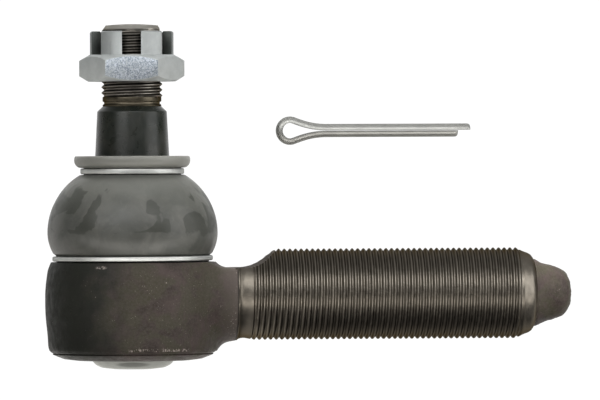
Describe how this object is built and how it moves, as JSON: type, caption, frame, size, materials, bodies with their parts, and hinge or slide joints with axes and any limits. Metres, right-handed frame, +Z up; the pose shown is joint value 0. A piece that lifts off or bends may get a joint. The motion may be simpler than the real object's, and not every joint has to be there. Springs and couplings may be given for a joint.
{
  "type": "tie rod end",
  "caption": "Steering tie rod end: ball stud with a taper swivelling in a booted socket, with a male threaded shank, a castle nut and a loose split pin.",
  "frame": {"origin": "centre of the ball, which lies on the axis of the shank", "axes": "+X along the shank towards its free end, +Z up the ball stud towards its nut, +Y across"},
  "size_m": [0.1396, 0.0462, 0.0908],
  "materials": {
    "forged_housing": "dark oiled forging scale, machined and oiled on the thread",
    "stud_steel": "dark phosphated cone, bare brownish steel on the thread",
    "bearing_plastic": "natural acetal",
    "plain_steel": "plain",
    "plate_steel": "pressed, zinc plated",
    "seal_rubber": "matt",
    "boot_rubber": "smooth moulded rubber, slight sheen",
    "plated_ring": "bright zinc",
    "plated_nut": "zinc plated with a fine crystal sparkle",
    "plated_pin": "zinc plated, drawn"
  },
  "bodies": {
    "socket": {"housing": "forged_housing", "pressure_plate": "plain_steel", "pressure_spring": "plain_steel", "closing_plate": "plate_steel", "plate_seal_ring": "seal_rubber", "boot_lower_ring": "plated_ring"},
    "seat": {"upper_bearing_shell": "bearing_plastic", "lower_bearing_shell": "bearing_plastic", "dust_boot": "boot_rubber"},
    "boot_neck": {"boot_upper_ring": "plated_ring", "boot_lip_insert": "plain_steel"},
    "stud": {"ball_stud": "stud_steel"},
    "nut": {"castle_nut": "plated_nut"},
    "pin": {"split_pin": "plated_pin"}
  },
  "joints": [
    {"name": "stud_swivel", "type": "hinge", "parent": "socket", "child": "seat", "pos_m": [0, 0, 0], "axis": [0, 0, 1], "continuous": true},
    {"name": "stud_tilt", "type": "hinge", "parent": "seat", "child": "boot_neck", "pos_m": [0, 0, 0], "axis": [0, 1, 0], "range_deg": [-20, 20], "deforming": ["dust_boot"]},
    {"name": "stud_spin", "type": "hinge", "parent": "boot_neck", "child": "stud", "pos_m": [0, 0, 0], "axis": [0, 0, 1], "continuous": true},
    {"name": "nut_travel", "type": "slide", "parent": "stud", "child": "nut", "axis": [0, 0, 1], "range_m": [-0.0045, 0.016]},
    {"name": "pin_lift", "type": "slide", "parent": "socket", "child": "pin", "axis": [0, 0, 1], "range_m": [0, 0.01]}
  ]
}
